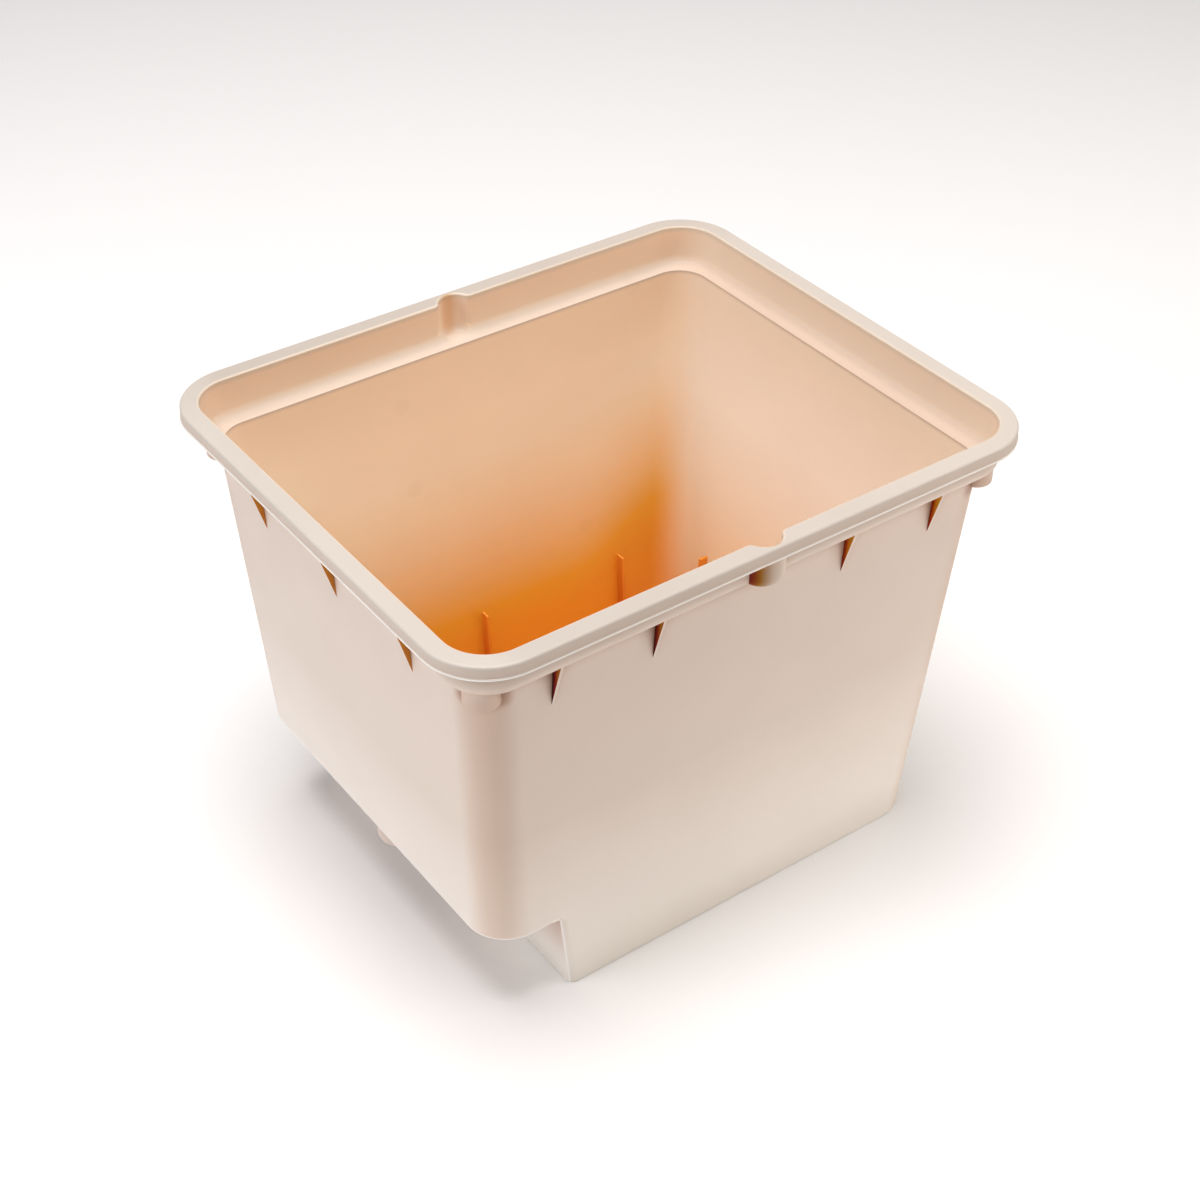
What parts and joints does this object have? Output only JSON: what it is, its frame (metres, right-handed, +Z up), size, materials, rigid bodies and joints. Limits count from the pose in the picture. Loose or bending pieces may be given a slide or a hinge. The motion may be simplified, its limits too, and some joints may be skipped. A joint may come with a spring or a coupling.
{
  "type": "dutch bucket",
  "caption": "Tapered growing tub with a lid ledge, two rim notches, a raised end that straddles a drain pipe and a swivelling push-fit elbow siphon.",
  "frame": {"origin": "on the underside of the foot, under the centre of the rim", "axes": "+X along the long sides from the raised end to the deep end, +Y across the tub, +Z up"},
  "size_m": [0.305, 0.254, 0.229],
  "materials": {
    "tub": "injection-moulded natural plastic, slightly translucent, satin",
    "fitting": "black moulded plastic, satin"
  },
  "bodies": {
    "tub": {"tub": "tub"},
    "drain_elbow": {"drain_elbow": "fitting"},
    "inlet_elbow": {"inlet_elbow": "fitting"}
  },
  "joints": [
    {"name": "drain_swivel", "type": "hinge", "parent": "tub", "child": "drain_elbow", "pos_m": [-0.112, 0, 0.053], "axis": [0, 0, 1], "range_deg": [-35, 35]},
    {"name": "inlet_swivel", "type": "hinge", "parent": "drain_elbow", "child": "inlet_elbow", "pos_m": [-0.078, 0, 0.074], "axis": [1, 0, 0], "continuous": true}
  ]
}
